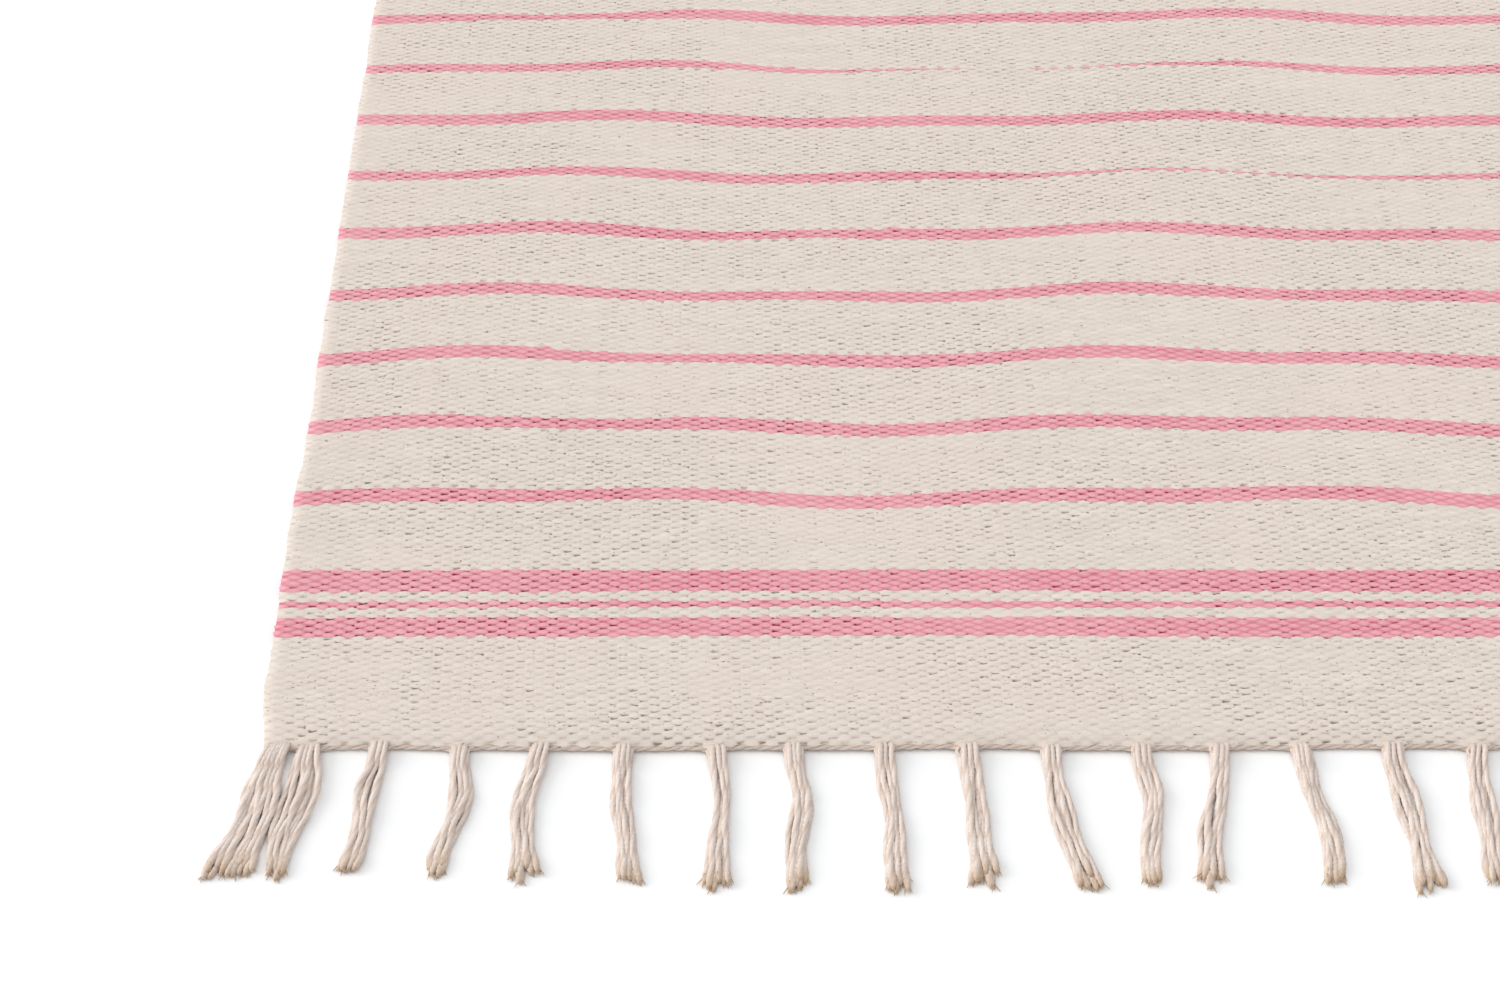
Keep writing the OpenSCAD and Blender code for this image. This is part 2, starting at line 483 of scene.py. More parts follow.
def stripe_rows(k, x):
    """The width of stripe k at x, in rows. A part of a row is a narrow row."""
    full, lost, middle, reach = (np.array(column)[k % len(THINNING)] for column in zip(*THINNING))
    span = 2 * HALF_W / MM
    middle = (middle + THINNING_SHIFT * (k // len(THINNING)) + span / 2) % span - span / 2
    away = np.clip(abs(x / MM - middle) / reach, 0, 1)
    return full - lost * (0.5 + 0.5 * np.cos(np.pi * away))


def tassel_root(i):
    """Where tassel i comes out, across the width. There is a close second tassel at each corner."""
    step = 2 * (HALF_W - CORNER_INSET) / (TASSELS - 3)
    x = -HALF_W + CORNER_INSET + step * min(max(i - 1, 0), TASSELS - 3)
    if i in (1, TASSELS - 2):
        x = math.copysign(HALF_W - SECOND_INSET, i - 2)
    return x + LIE[i][0] * MM


class Weave:
    """The lattice of the woven body. Its rows are half weft rows from the near end. Its columns go round
    the rug: over the top at half steps of the warp, round the right edge, back along the underside at
    whole steps, and round the left edge. Crossings are where a whole column meets the middle of a row."""

    def __init__(self, sizes):
        rng = np.random.default_rng(sizes.seed)
        self.half_rows = 2 * ROWS + 1
        spaces = round((WARP_HIGH.x - WARP_LOW.x) / sizes.warp_pitch)  # between the outermost threads
        half_step = sizes.warp_pitch / 2
        turn = 3  # half steps from an outermost thread to the edge
        last = 2 * spaces + 2 * turn
        top = np.arange(turn, last - turn + 1)
        under = np.arange(last - turn, turn - 1, -2)
        ring = [last - 2, last - 1, last, last - 1, last - 2]
        self.place = np.concatenate([top, ring, under, [2, 1, 0, 1, 2], [turn]])
        steps = np.concatenate(
            [np.full(len(top) + len(ring), 0.5), np.full(len(under) - 1, 1.0), np.full(6, 0.5)]
        )
        self.along = np.concatenate([[0.0], np.cumsum(steps)])
        right = [90, 45, 0, -45, -90]
        left = [-90, -135, 180, 135, 90]
        self.angle = np.radians(
            np.concatenate([np.full(len(top), 90), right, np.full(len(under), -90), left, [90]])
        )
        flat_x = (self.place - last / 2) * half_step
        self.flat_x = np.clip(flat_x, -EDGE_CORD_X, EDGE_CORD_X)
        self.lattice_x = (np.arange(last + 1) - last / 2) * half_step
        self.rows = np.arange(self.half_rows) / 2 - ROWS / 2
        self.shift = self.hand_shift(rng, sizes)
        self.lift = sizes.lift * spread_noise(rng, (self.half_rows, last + 1), LIFT_CELLS)
        self.hollow = self.hollows(rng)
        self.sizes = sizes
        self.points = self.surface(rng)

    def hand_shift(self, rng, sizes):
        """How far each place is from its straight row and straight warp, in x and y."""
        shape = (self.half_rows, len(self.lattice_x))

        def noise(cells):
            return 2 * spread_noise(rng, shape, cells) - 1

        y = wander(self.rows[:, None], self.lattice_x[None, :]) + self.narrowing()
        y = y + sizes.row_wobble * (noise((9, 26)) + 0.6 * noise((3, 8)))
        x = sizes.warp_wobble * (noise((110, 2)) + 0.5 * noise((24, 6)))
        edge = np.clip(1 - (HALF_W - abs(self.lattice_x)) / EDGE_MARGIN, 0, 1) ** 2
        x = x + sizes.edge_wobble * (noise((70, 400)) + 0.4 * noise((16, 400))) * edge
        y = y + sizes.edge_wobble * (0.4 + noise((9, 400))) * edge**3
        # The rug lies in a slight bow, and its corners draw in.
        x = x - sizes.bow * (1 - (2 * self.rows / ROWS) ** 2)[:, None]
        from_end = ROWS / 2 - abs(self.rows)[:, None]
        x = x - sizes.corner_pull * self.lattice_x / HALF_W * np.exp(-((from_end / CORNER_ROWS) ** 2))
        # The tassels pull the last rows outwards, some more than others.
        for end in (-1, 1):
            depth = np.exp(-(ROWS / 2 - end * self.rows) / PULL_ROWS)[:, None]
            for i in range(TASSELS):
                pull = sizes.root_pull * rng.uniform(0.1, 1.0)
                near = np.exp(-(((self.lattice_x - tassel_root(i)) / PULL_REACH) ** 2))[None, :]
                y = y + end * pull * near * depth
            y = y + end * END_WOBBLE * (noise((999, 22)) * depth)
        return np.stack([x, y], 2)

    def narrowing(self):
        """How far rows give way in y where the last row of a stripe is narrow."""
        y = np.zeros((self.half_rows, len(self.lattice_x)))
        for k in range(STRIPES):
            rows = stripe_rows(k, self.lattice_x)
            count = np.floor(rows + 1 - LEAST_ROW)
            lost = (1 - np.clip(rows - count + 1, LEAST_ROW, 1)) * PICK
            middle = ROWS + 2 * STRIPE_ROWS * (k - STRIPES // 2)
            # Rows are added at the far side for an odd count and at the near side for an even one.
            for last in range(1, 6):
                way = -1 if last % 2 else 1
                moved = way * np.where(count == last, lost, 0)
                outer = middle + 2 * (last // 2 + 1 if last % 2 else -last // 2)
                y[outer] += moved
                y[outer + 1] += moved / 2
                y[outer - 1] += moved / 2
        return y

    def hollows(self, rng):
        """How deep each hollow is, and how dark its painted shade, from 0 to 1. They come and go in
        patches, rows and columns.
        """
        shape = (self.half_rows, len(self.place))
        patch = spread_noise(rng, shape, (38, 34))
        columns = spread_noise(rng, shape, (120, 2))
        rows = spread_noise(rng, shape, (5, 90))
        single = np.repeat(np.repeat(rng.random((ROWS + 1, len(self.place) // 2 + 1)), 2, 0), 2, 1)
        single = single[: shape[0], : shape[1]]
        common = np.clip((0.5 * patch + 0.3 * columns + 0.2 * rows - 0.3) / 0.36, 0, 1)
        strength = 0.05 + common * (0.14 + single**2.4)
        strength = strength * (1 - 0.5 * (abs(self.flat_x) > WARP_HIGH.x - 4 * MM))
        strength[:, -1] = strength[:, 0]
        return np.clip(strength, 0, 1)

    def surface(self, rng):
        """The points of the lattice."""
        sizes = self.sizes
        shape = self.hollow.shape
        weft = (self.rows - 0.5)[:, None]
        crossing = np.cos(np.pi * self.along)[None, :] * np.cos(np.pi * weft)
        on_row = np.cos(np.pi * weft) ** 2
        on_warp = np.cos(np.pi * self.along)[None, :] ** 2
        height = sizes.valley + (sizes.side - sizes.valley) * on_row + WARP_RIDGE * on_warp * (1 - on_row)
        height = height + np.clip(crossing, 0, 1) * (sizes.crown - sizes.side)
        height = height - np.clip(-crossing, 0, 1) * sizes.dimple * self.hollow

        def uneven():
            return 2 * rng.random(shape) - 1

        height = height + sizes.uneven * 0.4 * uneven() * on_row
        # Each float swells into the rows on either side of it, and narrows where it dives.
        swell = np.cos(np.pi * self.along)[None, :] * np.cos(np.pi * (weft - 0.5)) * (1 - on_row)
        swell = sizes.swell * swell * (1 + 0.7 * uneven())
        bend = np.cos(self.angle) ** 2 * 0.5  # rows slant as they turn round the edge
        x = self.flat_x + np.cos(self.angle) * height + self.shift[:, self.place, 0]
        y = PICK * (self.rows[:, None] + swell + bend) + self.shift[:, self.place, 1]
        z = MID_Z + np.sin(self.angle) * height + self.lift[:, self.place]
        x = x + 2.2 * sizes.uneven * uneven() * on_row * on_warp
        y = y + sizes.uneven * uneven() * on_row * on_warp
        points = np.stack([x, y, z * self.thinned(self.rows)[:, None]], 2)
        points[:, -1] = points[:, 0]
        return points

    def thinned(self, rows):
        """How thick the weave is near its ends, as a part of its full thickness."""
        return 1 - self.sizes.end_thinning * np.exp(-(ROWS / 2 - abs(rows)) / 2)

    def closing_row(self, row):
        """The row of points that closes a piece at a half row, where its top meets its underside."""
        whole = np.where((self.angle > 1.5) & (self.place % 2 == 0), self.place - 1, self.place)
        whole = np.where(abs(self.flat_x) > WARP_HIGH.x, self.place, whole)
        x = np.clip(self.lattice_x[whole], -EDGE_CORD_X, EDGE_CORD_X)
        x = x + np.cos(self.angle) * self.sizes.side + self.shift[row, whole, 0]
        y = PICK * (self.rows[row] + np.cos(self.angle) ** 2 * 0.5) + self.shift[row, whole, 1]
        z = (MID_Z + self.lift[row, whole]) * self.thinned(self.rows[row])
        return np.stack([x, y, z], 1)

    def is_pink(self):
        """For each row and column of faces, whether that stretch of yarn is dyed in the field."""
        row = np.arange(self.half_rows - 1) // 2 - ROWS // 2
        middle = (self.along[:-1] + self.along[1:]) / 2
        low = np.floor(middle).astype(int)
        crown = low[None, :] + (low[None, :] + row[:, None]) % 2
        spaces = (self.lattice_x[-1] - self.lattice_x[0]) / self.sizes.warp_pitch - 3
        across = np.where(crown <= spaces + 1.5, crown, 2 * spaces + 3 - crown)
        x = (across - spaces / 2) * self.sizes.warp_pitch
        k = np.clip(np.floor(row / STRIPE_ROWS + 0.5).astype(int) + STRIPES // 2, 0, STRIPES - 1)
        count = np.floor(stripe_rows(k[:, None], x) + 1 - LEAST_ROW).astype(int)
        first = -(count // 2)
        step = (row - STRIPE_ROWS * (k - STRIPES // 2))[:, None]
        return (step >= first) & (step < first + count)

    def patch(self, low, high, finishes):
        """The lattice between two weft rows, closed at both ends. finishes is the number of a finish for
        all its faces, or an array by half row and column."""
        first, last = 2 * low, 2 * high
        keep = np.concatenate([[first], np.arange(first, last + 1), [last]])
        points = self.points[keep]
        points[0] = self.closing_row(first)
        points[-1] = self.closing_row(last)
        weave = np.stack(np.broadcast_arrays(self.along[None, :], (self.rows[keep] - 0.5)[:, None]), 2)
        faces = np.clip(keep[1:] - 1, first, last - 1)
        numbers = np.zeros((len(keep), len(self.along)), int)
        if not np.isscalar(finishes):
            numbers[:-1, :-1] = finishes[faces]
        creased = np.array([index in (0, len(keep) - 1) or row % 2 == 0 for index, row in enumerate(keep)])
        return {
            "points": points,
            "weave": weave,
            "hollow": self.hollow[keep][:, :, None],
            "finish": numbers,
            "creased": creased,
        }


def weave_piece(weave, name, spans, slot, *nodes):
    """One straight piece of the weave, in one yarn, made of one or more spans of rows."""
    patches = [weave.patch(low, high, 0) for low, high in spans]
    meshes = [patch_mesh(name, [patch], [slot]) for patch in patches]
    mesh = meshes[0]
    if len(meshes) > 1:
        work = bmesh.new()
        for each in meshes:
            work.from_mesh(each)
        work.to_mesh(mesh)
        work.free()
    return show(name, mesh, slot, *nodes)


def end_spans():
    """The rows of each piece at the near end, by its node's name without the end."""
    spans, row = {}, 0
    for name, count in END_SPANS.items():
        spans[name] = (row, row + count)
        row += count
    return spans


# ---------------------------------------------------------------- yarns


def tube(path, radius, turns, sides, lobed=0.0, tip=None, wide=1.0):
    """A closed yarn along a path of points. radius is one value to each point. turns is how many times
    its section turns on the way, lobed is how deep the groove between its two plies is, and wide how
    much broader it lies than it is high."""
    path = np.asarray(path, float)
    count = len(path)
    ahead = np.gradient(path, axis=0)
    ahead /= np.linalg.norm(ahead, axis=1)[:, None]
    side = np.cross([0.0, 0.0, 1.0], ahead)
    side /= np.linalg.norm(side, axis=1)[:, None]
    up = np.cross(ahead, side)
    round_ = np.arange(sides + 1) / sides
    theta = 2 * np.pi * (round_[None, :] + np.linspace(0, turns, count)[:, None])
    lobe = 1 - lobed + lobed * abs(np.cos(2 * np.pi * round_))[None, :]
    reach = np.asarray(radius, float)[:, None] * lobe
    ring = (
        path[:, None, :]
        + (wide * reach * np.cos(theta))[:, :, None] * side[:, None, :]
        + (reach * np.sin(theta))[:, :, None] * up[:, None, :]
    )
    ring[:, -1] = ring[:, 0]
    first, last = (np.repeat(path[None, [end]], sides + 1, 1) for end in (0, -1))
    points = np.concatenate([first, ring, last])
    length = np.concatenate([[0], np.cumsum(np.linalg.norm(np.diff(path, axis=0), axis=1)), [0]])
    length = np.concatenate([length[:1], length[:-1], length[-2:-1]])
    weave = np.stack(np.broadcast_arrays(round_[None, :], length[:, None] * 100), 2)
    tip = np.zeros(count) if tip is None else tip
    hollow = np.concatenate([tip[:1], tip, tip[-1:]])[:, None, None] * np.ones((1, sides + 1, 1))
    return {"points": points, "weave": weave, "hollow": hollow}


def edge_line(weave, end, x):
    """The place of the middle of the end's edge at x, as drawn out by the tassels."""
    row = 0 if end < 0 else weave.half_rows - 1
    shift = [np.interp(x, weave.lattice_x, weave.shift[row, :, axis]) for axis in (0, 1)]
    lift = np.interp(x, weave.lattice_x, weave.lift[row])
    z = (MID_Z + lift) * weave.thinned(weave.rows[row])
    return np.stack([x + shift[0], weave.rows[row] * PICK + shift[1], z], -1)


def twined_edge(weave, end, sizes):
    """Two yarns twined round each other along the end of the weave."""
    x = np.arange(-HALF_W + 2 * MM, HALF_W - 2 * MM, 1.4 * MM)
    line = edge_line(weave, end, x)
    plies = []
    for phase in (0, np.pi):
        angle = 2 * np.pi * x / sizes.twine_pitch + phase
        coil = np.stack([0 * x, end * np.cos(angle), 1.3 * np.sin(angle)], 1)
        path = line + (0, end * 0.1 * MM, 0) + sizes.twine_helix * coil
        radius = np.full(len(x), sizes.twine_yarn)
        radius[:3] *= (0.4, 0.7, 0.9)
        radius[-3:] *= (0.9, 0.7, 0.4)
        plies.append(tube(path, radius, 0, YARN_SIDES, tip=np.full(len(x), 0.2)))
    return plies


# How high a yarn's middle is as it comes out over the twined edge, for one that lies low in its tassel
# and one that lies on top: distances out from the edge, and heights over the edge's middle, in mm.
LOW_WAY_OUT = ((-1.2, 0.6, 3.0, 7.0, 11.0), (0.2, 1.2, 1.2, 0.5, 0.0))
HIGH_WAY_OUT = ((-3.0, -0.8, 1.2, 4.0, 8.0, 12.0), (1.2, 2.9, 2.9, 2.4, 2.0, 1.6))


def tassel_yarns(weave, end, i, sizes, rng):
    """The yarns of tassel i: they come out over the twined edge, drop to the floor and lie in a loose
    bunch, and their cut ends are brushed out into fibres."""
    _, drift, bow, longer = (value * MM for value in LIE[i])
    corner = i in (0, TASSELS - 1)
    beside = i in (1, TASSELS - 2)
    count = sizes.corner_yarns if corner else sizes.yarns + (2 if beside else int(rng.integers(0, 2)))
    root, edge_y, edge_z = edge_line(weave, end, tassel_root(i))
    radius = sizes.yarn_d / 2
    s = np.linspace(0, 1, sizes.yarn_rings)
    root_reach = CORNER_ROOT_REACH if corner else ROOT_REACH
    reach = CORNER_REACH if corner else BESIDE_REACH if beside else REACH
    bunch = s if corner else np.sin(np.pi * np.clip(s / 0.9, 0, 1)) ** 0.7
    loosened = 0.0 if corner or beside else rng.uniform(-0.2, 0.9)
    spread = 1 + loosened * np.clip((s - 0.7) / 0.3, 0, 1) ** 1.5
    kink = rng.uniform(0.5, 1.6) * MM * np.sin(2 * np.pi * (rng.uniform(0.7, 1.4) * s + rng.random()))
    middle = root + drift * s + bow * np.sin(np.pi * s) + (kink - kink[0]) * np.clip(3 * s, 0, 1)
    ranks = np.linspace(-1, 1, count)
    swapped = ranks + rng.normal(0, 0.1 if corner else 0.28, count)
    stray = int(rng.choice([0, count - 1])) if rng.random() < 0.25 else -1
    patches = []
    for n in range(count):
        high = n % 2
        place = ranks[n] + (swapped[n] - ranks[n]) * np.sin(np.pi * np.clip(s * 1.2, 0, 1)) ** 2
        x = middle + place * (root_reach + (reach - root_reach) * bunch) * spread
        waves, phase = rng.uniform(1.0, 2.4), rng.uniform(0, 2 * np.pi)
        sway = rng.uniform(0.3, 1.3 if corner else 0.8) * MM * np.sin(2 * np.pi * waves * s + phase)
        x = x + sway * np.clip(4 * s, 0, 1)
        if n == stray:
            lean = math.copysign(rng.uniform(1.2, 2.6) * MM, ranks[n])
            x = x + lean * np.exp(-(((s - rng.uniform(0.4, 0.7)) / 0.17) ** 2))
        way_out = HIGH_WAY_OUT if high else LOW_WAY_OUT
        inside = way_out[0][0] * MM * rng.uniform(0.5, 1.1)
        out = inside + (TASSEL_L + longer) * (1 + rng.uniform(-0.06, 0.02)) * s
        layer = high * 1.1 * radius * (1 - 0.4 * s)
        stir = 0.3 * radius * np.sin(2 * np.pi * waves * s + 2 * phase)
        floor = radius * 0.95 + np.clip(layer + stir, 0, None)
        over = np.interp(out / MM, *way_out) * MM + edge_z
        settled = np.clip((out / MM - way_out[0][-2]) / 5, 0, 1)
        z = over + (floor - over) * settled * settled * (3 - 2 * settled)
        tip = np.clip((s - 0.84) / 0.16, 0, 1) ** 1.5 * rng.uniform(0.5, 1.0)
        size = radius * rng.uniform(0.9, 1.12) * (1 + 0.1 * np.sin(9 * s + phase))
        size = size * (1 + 0.25 * np.exp(-(((s - 0.92) / 0.05) ** 2)))
        size = size * np.clip((1.02 - s) / 0.06, 0.2, 1) ** 0.6
        size[0] *= 0.5
        path = np.stack([x, edge_y + end * out, z], 1)
        turns = out[-1] / sizes.yarn_turn
        patches.append(tube(path, size, turns, YARN_SIDES, sizes.groove, tip, YARN_WIDE))
        patches += brushed_end(path, radius, sizes, rng)
    if rng.random() < 0.45 and not corner:
        patches.append(root_loop(root, edge_y, edge_z, end, radius, rng))
    return patches


def root_loop(root, edge_y, edge_z, end, radius, rng):
    """A slack loop of yarn beside a tassel's root."""
    side = rng.choice([-1, 1])
    t = np.linspace(0, 1, 12)
    out = rng.uniform(2.2, 4.2) * np.sin(np.pi * t) ** 0.8
    x = root + side * (2.2 + out - 1.2 * t) * MM
    y = edge_y + end * (-1.2 + rng.uniform(5.5, 8.5) * t**0.8) * MM
    z = edge_z + (2.2 + 0.6 * np.sin(np.pi * t) - 1.4 * t) * MM
    size = 0.72 * radius * np.clip(4 * np.minimum(t + 0.1, 1.1 - t), 0.4, 1)
    return tube(np.stack([x, y, z], 1), size, 0.4, YARN_SIDES, 0.2)


def brushed_end(path, radius, sizes, rng):
    """Loose fibres that fan out of a yarn's cut end and settle on the floor."""
    ahead = path[-1] - path[-4]
    ahead /= np.linalg.norm(ahead)
    side = np.cross([0.0, 0.0, 1.0], ahead)
    fibres = []
    for _ in range(sizes.fibres):
        reach = rng.uniform(3.0, 7.5) * MM
        start = path[-3] + side * rng.uniform(-0.8, 0.8) * radius
        t = np.linspace(0, 1, 5)[:, None]
        line = start + ahead * reach * t + side * rng.normal(0, 0.25) * reach * t**1.5
        rise = rng.uniform(-0.4, 0.8) * (1 - t[:, 0]) - 0.5 * t[:, 0]
        line[:, 2] = np.maximum(0.4 * MM, start[2] + rise * radius)
        width = rng.uniform(0.4, 0.75) * MM * (1 - 0.75 * t[:, 0])
        fibres.append(tube(line, width, 0, FIBRE_SIDES, tip=0.6 + 0.4 * t[:, 0]))
    return fibres


# ---------------------------------------------------------------- settings


class RUG_PG_weave(bpy.types.PropertyGroup):
    """Sizes of the woven body"""

    seed: bpy.props.IntProperty(name="Seed", description="Seed of the hand-woven irregularity", default=11)
    warp_pitch: bpy.props.FloatProperty(
        name="Warp Pitch", description="Spacing of the warp threads", default=5 * MM, unit="LENGTH"
    )
    crown: bpy.props.FloatProperty(
        name="Crown",
        description="Height of a float's crown above the warp",
        default=2.85 * MM,
        unit="LENGTH",
    )
    side: bpy.props.FloatProperty(
        name="Side", description="Height of a weft row where it slopes", default=2.65 * MM, unit="LENGTH"
    )
    valley: bpy.props.FloatProperty(
        name="Valley",
        description="Height of the crease between two rows",
        default=2.4 * MM,
        unit="LENGTH",
    )
    dimple: bpy.props.FloatProperty(
        name="Dimple", description="Depth of the deepest hollow", default=1.7 * MM, unit="LENGTH"
    )
    swell: bpy.props.FloatProperty(
        name="Swell", description="How far a float bulges into its neighbours, in rows", default=0.3
    )
    uneven: bpy.props.FloatProperty(
        name="Uneven",
        description="How far a single crossing is out of place",
        default=0.38 * MM,
        unit="LENGTH",
    )
    row_wobble: bpy.props.FloatProperty(
        name="Row Wobble", description="Unevenness of the weft rows", default=0.55 * MM, unit="LENGTH"
    )
    warp_wobble: bpy.props.FloatProperty(
        name="Warp Wobble", description="Unevenness of the warp", default=0.45 * MM, unit="LENGTH"
    )
    edge_wobble: bpy.props.FloatProperty(
        name="Edge Wobble", description="Unevenness of the side edges", default=1.4 * MM, unit="LENGTH"
    )
    root_pull: bpy.props.FloatProperty(
        name="Root Pull",
        description="How far a tassel draws the edge out",
        default=2.7 * MM,
        unit="LENGTH",
    )
    bow: bpy.props.FloatProperty(
        name="Bow",
        description="How far the middle lies to the left of the ends",
        default=8 * MM,
        unit="LENGTH",
    )
    corner_pull: bpy.props.FloatProperty(
        name="Corner Pull", description="How far the corners draw in", default=4.0 * MM, unit="LENGTH"
    )
    end_thinning: bpy.props.FloatProperty(
        name="End Thinning", description="How much thinner the weave is at its ends", default=0.45
    )
    lift: bpy.props.FloatProperty(
        name="Lift",
        description="How far the rug rises off the floor in places",
        default=1.2 * MM,
        unit="LENGTH",
    )


class RUG_PG_fringe(bpy.types.PropertyGroup):
    """Sizes of the twined edge and the fringe"""

    seed: bpy.props.IntProperty(name="Seed", description="Seed of the tassels' lie", default=5)
    yarns: bpy.props.IntProperty(
        name="Yarns", description="Usual number of yarns that show in a tassel", default=6
    )
    corner_yarns: bpy.props.IntProperty(
        name="Corner Yarns", description="Number of yarns in a corner tassel", default=14
    )
    yarn_d: bpy.props.FloatProperty(
        name="Yarn Diameter",
        description="Thickness of a loose warp yarn",
        default=2.6 * MM,
        unit="LENGTH",
    )
    yarn_turn: bpy.props.FloatProperty(
        name="Yarn Twist",
        description="Length of one turn of a yarn's plies",
        default=26 * MM,
        unit="LENGTH",
    )
    groove: bpy.props.FloatProperty(
        name="Groove",
        description="Depth of the groove between two plies, as a part of the radius",
        default=0.18,
    )
    yarn_rings: bpy.props.IntProperty(name="Rings", description="Rings of points along a yarn", default=32)
    fibres: bpy.props.IntProperty(name="Fibres", description="Loose fibres at each yarn's end", default=6)
    twine_yarn: bpy.props.FloatProperty(
        name="Twine Yarn Radius",
        description="Radius of a twining yarn",
        default=0.75 * MM,
        unit="LENGTH",
    )
    twine_helix: bpy.props.FloatProperty(
        name="Twine Helix Radius", description="Radius of the twist", default=0.5 * MM, unit="LENGTH"
    )
    twine_pitch: bpy.props.FloatProperty(
        name="Twine Pitch", description="Length of one twist", default=13 * MM, unit="LENGTH"
    )


class RUG_PG_stage(bpy.types.PropertyGroup):
    """The floor, the light and the camera"""

    floor_colour: bpy.props.FloatVectorProperty(
        name="Floor",
        description="Colour of the floor",
        subtype="COLOR",
        size=4,
        default=linear("#FEFEFE"),
    )
    sun: bpy.props.FloatProperty(name="Sun", description="Strength of the high light", default=0.6)
    low_sun: bpy.props.FloatProperty(
        name="Low Sun", description="Strength of the light low on the left", default=1.6
    )
    sky: bpy.props.FloatProperty(
        name="Sky", description="Strength of the soft light all round", default=0.685
    )
    lens: bpy.props.FloatProperty(
        name="Lens", description="Focal length on a 36 mm sensor", default=66.7, unit="CAMERA"
    )
    tilt: bpy.props.FloatProperty(
        name="Tilt",
        description="How far the camera looks down",
        default=math.radians(43.235),
        subtype="ANGLE",
    )


# ---------------------------------------------------------------- operators


class RUG_OT_weave_ends(bpy.types.Operator):
    """Weave the plain border, the bands and the gaps between them at both ends"""

    bl_idname = "rug.weave_ends"
    bl_label = "Weave Ends"

    def execute(self, context):
        weave = Weave(context.scene.rug_weave)
        spans = end_spans()
        for end in ("near", "far"):
            rows = {
                name: span if end == "near" else (ROWS - span[1], ROWS - span[0])
                for name, span in spans.items()
            }
            for name in ("end_border", "outer_band", "thin_band", "inner_band"):
                slot = CREAM_SLOT if name == "end_border" else PINK_SLOT
                node = f"{end}_{name}"
                weave_piece(weave, f"{node}_weave", [rows[name]], slot, node)
            gaps = [rows["outer_gap"], rows["inner_gap"]]
            weave_piece(weave, f"{end}_band_gaps_weave", gaps, CREAM_SLOT, f"{end}_band_gaps")
        return {"FINISHED"}


class RUG_OT_weave_field(bpy.types.Operator):
    """Weave the striped field in sections"""

    bl_idname = "rug.weave_field"
    bl_label = "Weave Field"

    def execute(self, context):
        weave = Weave(context.scene.rug_weave)
        pink = weave.is_pink().astype(int)
        middle = ROWS // 2
        count = (ROWS - 2 * END_ROWS) // SECTION_ROWS - 1
        inner = [middle + SECTION_ROWS * n - SECTION_ROWS * count // 2 for n in range(count + 1)]
        bounds = [END_ROWS, *inner, ROWS - END_ROWS]
        nodes = ("ground_panels", "broad_stripes", "fine_stripes")
        hidden = ("warp_threads", "selvedge_cord_left", "selvedge_cord_right")
        for n, (low, high) in enumerate(zip(bounds, bounds[1:])):
            name = f"field_weave_{n + 1:02d}"
            mesh = patch_mesh(name, [weave.patch(low, high, pink)], [CREAM_SLOT, PINK_SLOT])
            piece = show(name, mesh, CREAM_SLOT, *nodes, *hidden)
        return {"FINISHED"}


class RUG_OT_twine_edges(bpy.types.Operator):
    """Twine two yarns along each end of the weave"""

    bl_idname = "rug.twine_edges"
    bl_label = "Twine Edges"

    def execute(self, context):
        weave = Weave(context.scene.rug_weave)
        for name, end in (("near", -1), ("far", 1)):
            node = f"{name}_edge_twining"
            plies = twined_edge(weave, end, context.scene.rug_fringe)
            mesh = patch_mesh(f"{node}_yarns", plies, [FRINGE_SLOT])
            show(f"{node}_yarns", mesh, CORD_SLOT, node)
        return {"FINISHED"}


class RUG_OT_lay_fringe(bpy.types.Operator):
    """Lay the tassels of loose warp yarns at both ends"""

    bl_idname = "rug.lay_fringe"
    bl_label = "Lay Fringe"

    def execute(self, context):
        weave = Weave(context.scene.rug_weave)
        sizes = context.scene.rug_fringe
        rng = np.random.default_rng(sizes.seed)
        for name, end in (("near", -1), ("far", 1)):
            for i in range(TASSELS):
                node = f"{name}_tassel_{i + 1:02d}"
                mesh = patch_mesh(f"{node}_yarns", tassel_yarns(weave, end, i, sizes, rng), [FRINGE_SLOT])
                show(f"{node}_yarns", mesh, FRINGE_SLOT, node)
            parts = ("outer_band", "thin_band", "inner_band", "band_gaps")
            others = [bpy.data.objects[f"{name}_{part}_weave"] for part in parts]
            others.append(bpy.data.objects[f"{name}_edge_twining_yarns"])
        return {"FINISHED"}


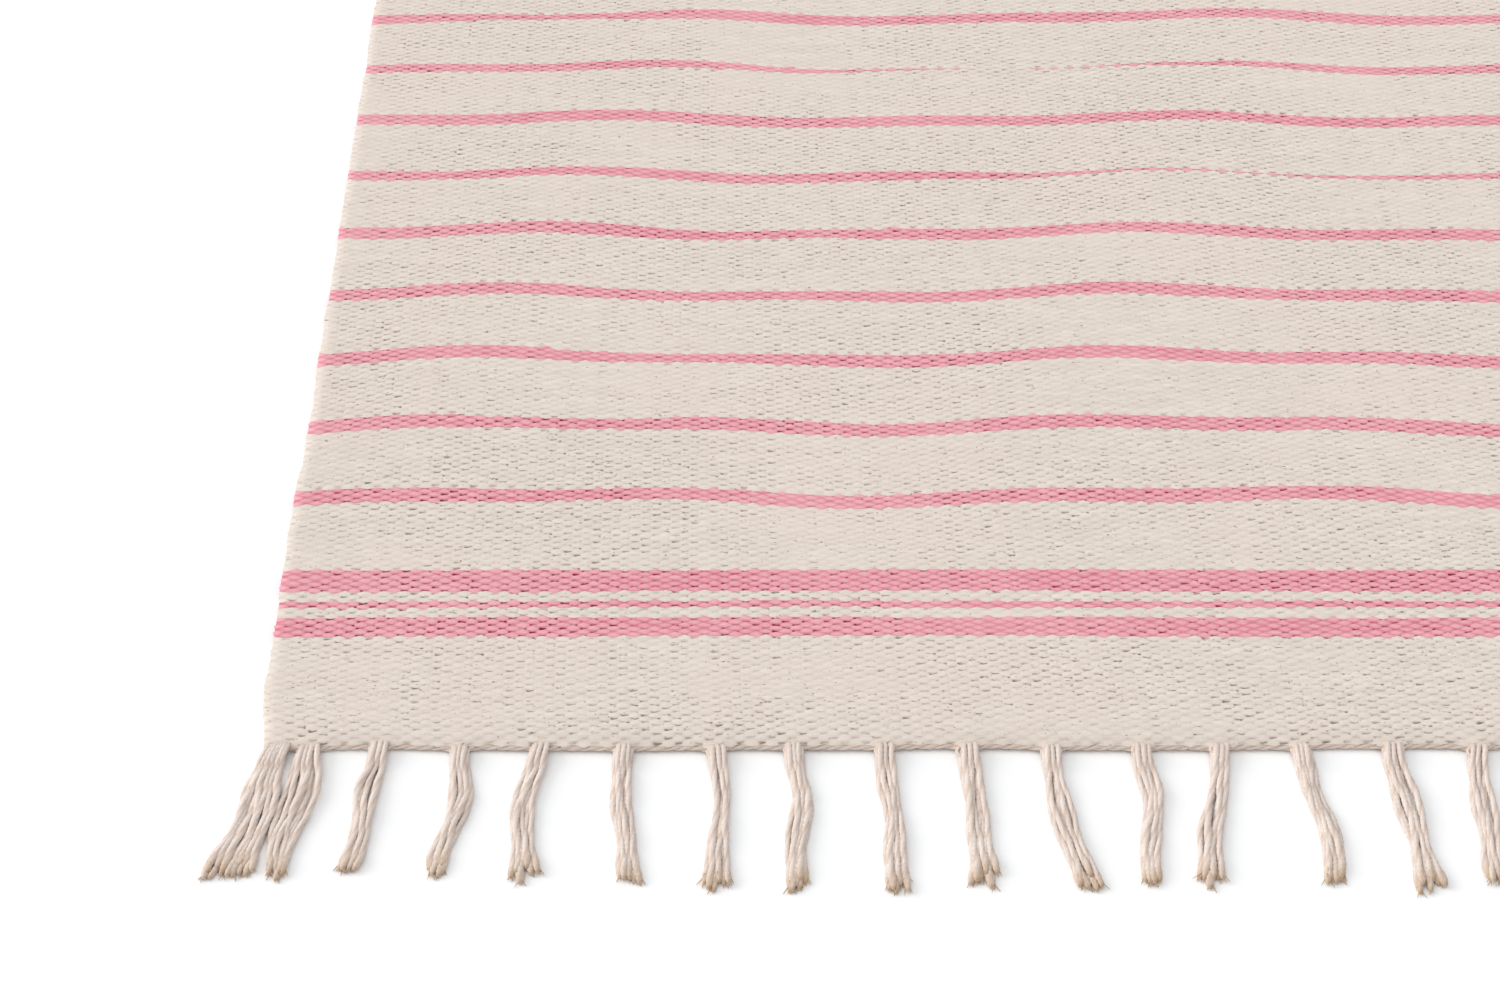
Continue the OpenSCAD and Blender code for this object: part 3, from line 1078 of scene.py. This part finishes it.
class RUG_OT_set_stage(bpy.types.Operator):
    """Lay the floor, and set the light and the camera"""

    bl_idname = "rug.set_stage"
    bl_label = "Set Stage"

    def execute(self, context):
        stage = context.scene.rug_stage
        work = bmesh.new()
        bmesh.ops.create_grid(work, x_segments=1, y_segments=1, size=FLOOR_HALF)
        mesh = bpy.data.meshes.new("floor")
        work.to_mesh(mesh)
        work.free()
        floor = bpy.data.objects.new("floor", mesh)
        context.scene.collection.objects.link(floor)
        paint = bpy.data.materials.new("floor")
        paint.use_nodes = True
        shader = paint.node_tree.nodes["Principled BSDF"]
        shader.inputs["Base Color"].default_value = stage.floor_colour
        shader.inputs["Roughness"].default_value = 1.0
        shader.inputs["Specular IOR Level"].default_value = 0.0
        mesh.materials.append(paint)

        # One light is nearly overhead. The other is low on the left, so that shadows reach to the right.
        lights = (("sun", stage.sun, -20, 60), ("low_sun", stage.low_sun, -66, 36))
        for name, strength, slant, angle in lights:
            sun = bpy.data.lights.new(name, "SUN")
            sun.energy = strength
            sun.angle = math.radians(angle)
            sun.color = SUN_COLOUR
            lamp = bpy.data.objects.new(name, sun)
            lamp.rotation_euler = (math.radians(SUN_LEAN), math.radians(slant), 0)
            context.scene.collection.objects.link(lamp)

        world = bpy.data.worlds.new("studio")
        world.use_nodes = True
        sky = world.node_tree.nodes["Background"]
        sky.inputs["Color"].default_value = SKY_COLOUR
        sky.inputs["Strength"].default_value = stage.sky
        context.scene.world = world

        camera = bpy.data.cameras.new("camera")
        camera.sensor_width = SENSOR_MM
        camera.lens = stage.lens
        camera.clip_end = 50
        eye = bpy.data.objects.new("camera", camera)
        # The left of the near end is in view, from about a metre above the floor.
        eye.location = EYE
        eye.rotation_euler = (math.pi / 2 - stage.tilt, 0, 0)
        context.scene.collection.objects.link(eye)
        context.scene.camera = eye
        context.scene.view_settings.view_transform = "Standard"
        return {"FINISHED"}


class RUG_PT_panel(bpy.types.Panel):
    """The rug's steps and sizes"""

    bl_label = "Runner Rug"
    bl_idname = "RUG_PT_panel"
    bl_space_type = "VIEW_3D"
    bl_region_type = "UI"
    bl_category = "Rug"

    def draw(self, context):
        for step in STEPS:
            self.layout.operator(step.bl_idname)
        for name in ("rug_weave", "rug_fringe", "rug_stage"):
            group = getattr(context.scene, name)
            for key in group.__annotations__:
                self.layout.prop(group, key)


STEPS = (
    RUG_OT_set_stage,
    RUG_OT_weave_ends,
    RUG_OT_weave_field,
    RUG_OT_twine_edges,
    RUG_OT_lay_fringe,
)
CLASSES = (RUG_PG_weave, RUG_PG_fringe, RUG_PG_stage, *STEPS, RUG_PT_panel)


def register():
    for each in CLASSES:
        bpy.utils.register_class(each)
    bpy.types.Scene.rug_weave = bpy.props.PointerProperty(type=RUG_PG_weave)
    bpy.types.Scene.rug_fringe = bpy.props.PointerProperty(type=RUG_PG_fringe)
    bpy.types.Scene.rug_stage = bpy.props.PointerProperty(type=RUG_PG_stage)


def unregister():
    del bpy.types.Scene.rug_stage
    del bpy.types.Scene.rug_fringe
    del bpy.types.Scene.rug_weave
    for each in reversed(CLASSES):
        bpy.utils.unregister_class(each)


def main():
    register()
    for step in STEPS:
        group, name = step.bl_idname.split(".")
        getattr(getattr(bpy.ops, group), name)()


if __name__ == "__main__":
    main()
